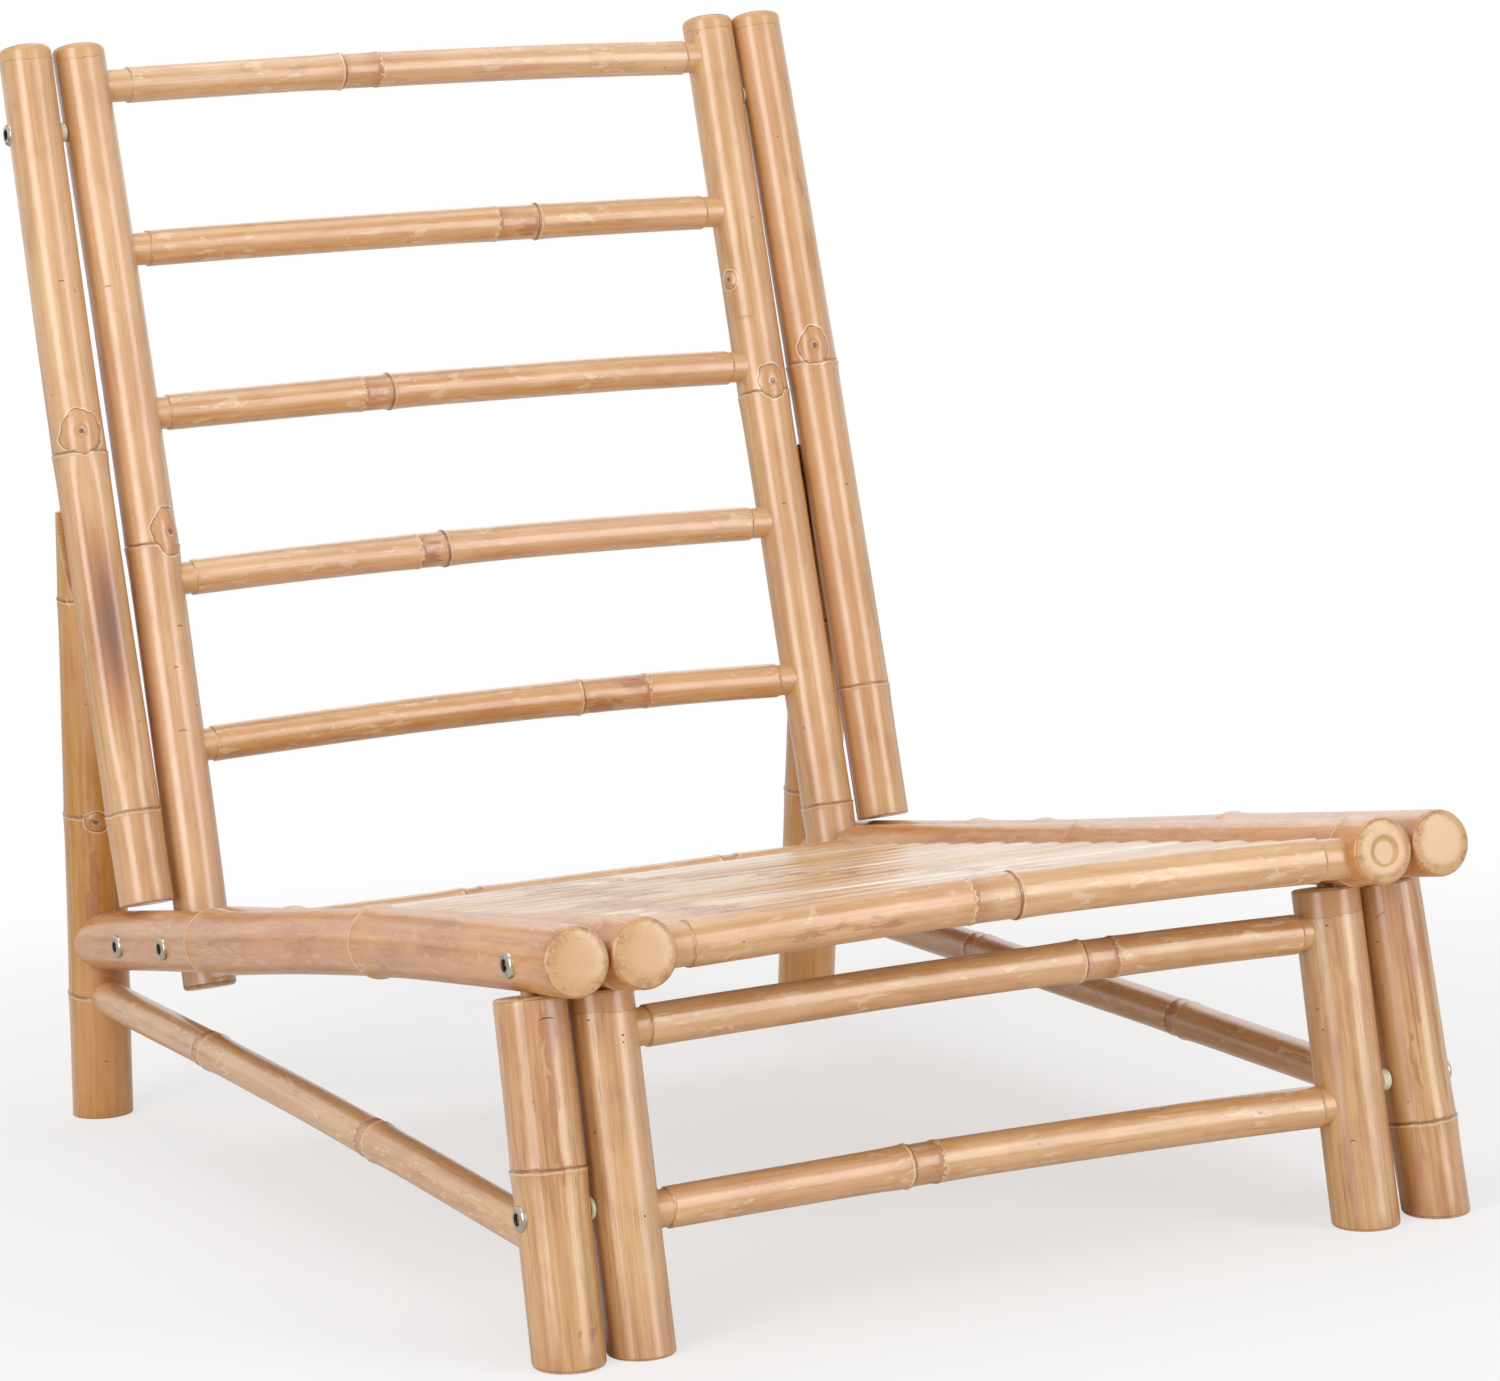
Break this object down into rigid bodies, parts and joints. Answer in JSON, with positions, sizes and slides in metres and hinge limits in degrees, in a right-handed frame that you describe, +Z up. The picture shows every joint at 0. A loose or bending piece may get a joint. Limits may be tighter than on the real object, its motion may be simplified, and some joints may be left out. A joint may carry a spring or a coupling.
{
  "type": "bamboo lounge chair",
  "caption": "Low bamboo lounge chair with a raked ladder back, a slatted seat between double rails, short front legs and long rear legs, held together by bolts.",
  "frame": {"origin": "on the floor, under the middle of the chair's bounding box", "axes": "+Z up, the chair faces -Y, +X to the right of someone looking at its front"},
  "size_m": [0.6454, 0.8986, 0.769],
  "materials": {
    "bamboo_poles": "satin, light honey bamboo bark under clear lacquer",
    "bamboo_rails": "satin, light honey bamboo bark under clear lacquer",
    "bamboo_legs": "satin, light honey bamboo bark under clear lacquer",
    "bamboo_bars": "satin, light honey bamboo bark under clear lacquer",
    "bamboo_slats": "satin, pale split bamboo",
    "hardwood_pegs": "plain turned hardwood",
    "nickel_steel": "nickel-plated, bright",
    "nylon_spacers": "plain, off-white"
  },
  "bodies": {
    "root": {"outer_back_pole_left": "bamboo_poles", "outer_back_pole_right": "bamboo_poles", "back_stile_left": "bamboo_poles", "back_stile_right": "bamboo_poles", "rear_leg_left": "bamboo_poles", "rear_leg_right": "bamboo_poles", "outer_seat_rail_left": "bamboo_rails", "outer_seat_rail_right": "bamboo_rails", "inner_seat_rail_left": "bamboo_rails", "inner_seat_rail_right": "bamboo_rails", "outer_front_leg_left": "bamboo_legs", "outer_front_leg_right": "bamboo_legs", "inner_front_leg_left": "bamboo_legs", "inner_front_leg_right": "bamboo_legs", "back_rung_1": "bamboo_bars", "back_rung_2": "bamboo_bars", "back_rung_3": "bamboo_bars", "back_rung_4": "bamboo_bars", "back_rung_5": "bamboo_bars", "front_seat_bar": "bamboo_bars", "rear_seat_bar": "bamboo_bars", "upper_leg_stretcher": "bamboo_bars", "lower_leg_stretcher": "bamboo_bars", "side_stretcher_left": "bamboo_bars", "side_stretcher_right": "bamboo_bars", "seat_slat_01": "bamboo_slats", "seat_slat_02": "bamboo_slats", "seat_slat_03": "bamboo_slats", "seat_slat_04": "bamboo_slats", "seat_slat_05": "bamboo_slats", "seat_slat_06": "bamboo_slats", "seat_slat_07": "bamboo_slats", "seat_slat_08": "bamboo_slats", "seat_slat_09": "bamboo_slats", "seat_slat_10": "bamboo_slats", "seat_slat_11": "bamboo_slats", "seat_slat_12": "bamboo_slats", "seat_slat_13": "bamboo_slats", "seat_slat_14": "bamboo_slats", "seat_slat_15": "bamboo_slats", "seat_slat_16": "bamboo_slats", "leg_peg_outer_left": "hardwood_pegs", "leg_peg_outer_right": "hardwood_pegs", "leg_peg_inner_left": "hardwood_pegs", "leg_peg_inner_right": "hardwood_pegs", "bolt_back_top_left": "nickel_steel", "bolt_back_top_right": "nickel_steel", "bolt_back_foot_left": "nickel_steel", "bolt_back_foot_right": "nickel_steel", "bolt_seat_rear_left": "nickel_steel", "bolt_seat_rear_right": "nickel_steel", "bolt_seat_front_left": "nickel_steel", "bolt_seat_front_right": "nickel_steel", "bolt_leg_left": "nickel_steel", "bolt_leg_right": "nickel_steel", "spacer_back_left": "nylon_spacers", "spacer_back_right": "nylon_spacers", "spacer_leg_left": "nylon_spacers", "spacer_leg_right": "nylon_spacers"}
  },
  "joints": []
}
